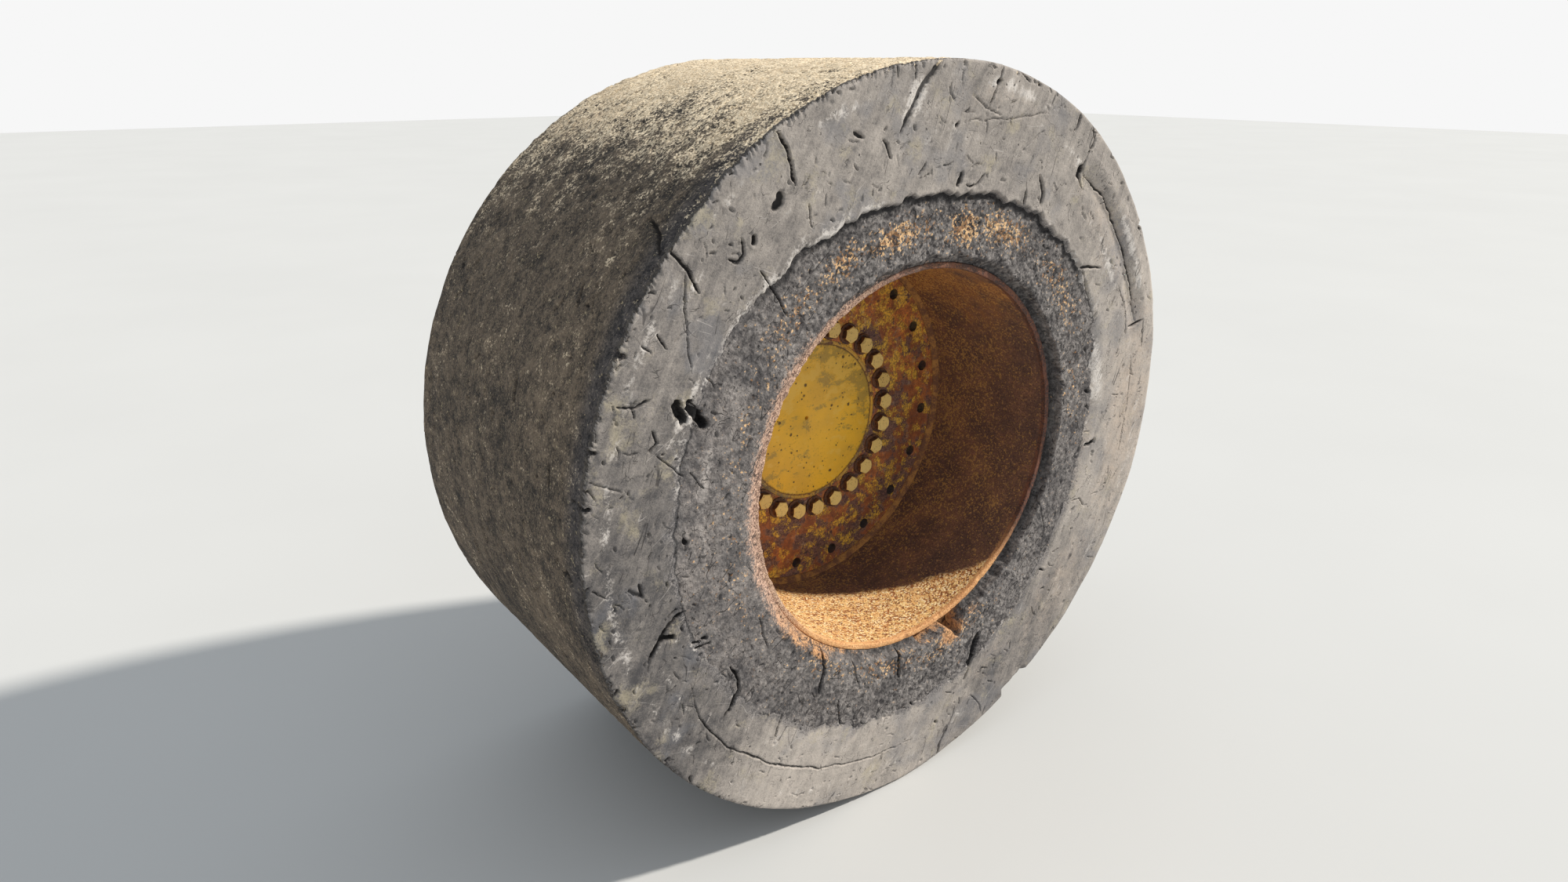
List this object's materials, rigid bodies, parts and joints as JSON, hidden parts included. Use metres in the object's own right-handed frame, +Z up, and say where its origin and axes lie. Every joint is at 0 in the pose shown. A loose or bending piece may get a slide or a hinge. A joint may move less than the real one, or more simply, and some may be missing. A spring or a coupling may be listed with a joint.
{
  "type": "wheel loader wheel end with solid rubber tyre",
  "caption": "Wheel loader wheel end: smooth solid rubber tyre on a deep steel wheel, bolted to a final-drive hub on its spindle, with brake housing and half shaft.",
  "frame": {"origin": "centre of the brake housing's mount face", "axes": "+Y along the wheel axis, inboard towards the machine; +Z up; -Y outboard"},
  "size_m": [1.5998, 0.889, 1.5999],
  "materials": {
    "worn_rubber": "worn, scraped and dusty solid rubber",
    "rusty_band": "rusted steel with flecks of old yellow paint",
    "rusty_disc": "rusted plate with remains of yellow paint",
    "bolt_paint": "pale yellow paint, chipped",
    "hub_casting": "rusted casting with remains of yellow paint",
    "cover_paint": "yellow paint, speckled and stained",
    "case_bolt_steel": "dull dark steel",
    "spindle_steel": "oily forged steel",
    "axle_casting": "yellow paint over cast iron, dusty and chipped",
    "shaft_steel": "oily machined steel"
  },
  "bodies": {
    "wheel": {"tyre": "worn_rubber", "rim_band": "rusty_band", "wheel_disc": "rusty_disc", "wheel_bolts": "bolt_paint", "planet_housing": "hub_casting", "hub_cover": "cover_paint", "bearing_hub": "hub_casting", "hub_bolts": "case_bolt_steel"},
    "axle": {"spindle": "spindle_steel", "brake_housing": "axle_casting"},
    "half_shaft": {"half_shaft": "shaft_steel"}
  },
  "joints": [
    {"name": "wheel_spin", "type": "hinge", "parent": "axle", "child": "wheel", "pos_m": [0, -0.432, 0], "axis": [0, -1, 0], "continuous": true},
    {"name": "shaft_spin", "type": "hinge", "parent": "axle", "child": "half_shaft", "pos_m": [0, -0.1, 0], "axis": [0, -1, 0], "continuous": true}
  ],
  "couplings": [
    {"joint": "shaft_spin", "follows": "wheel_spin", "ratio": 5}
  ]
}
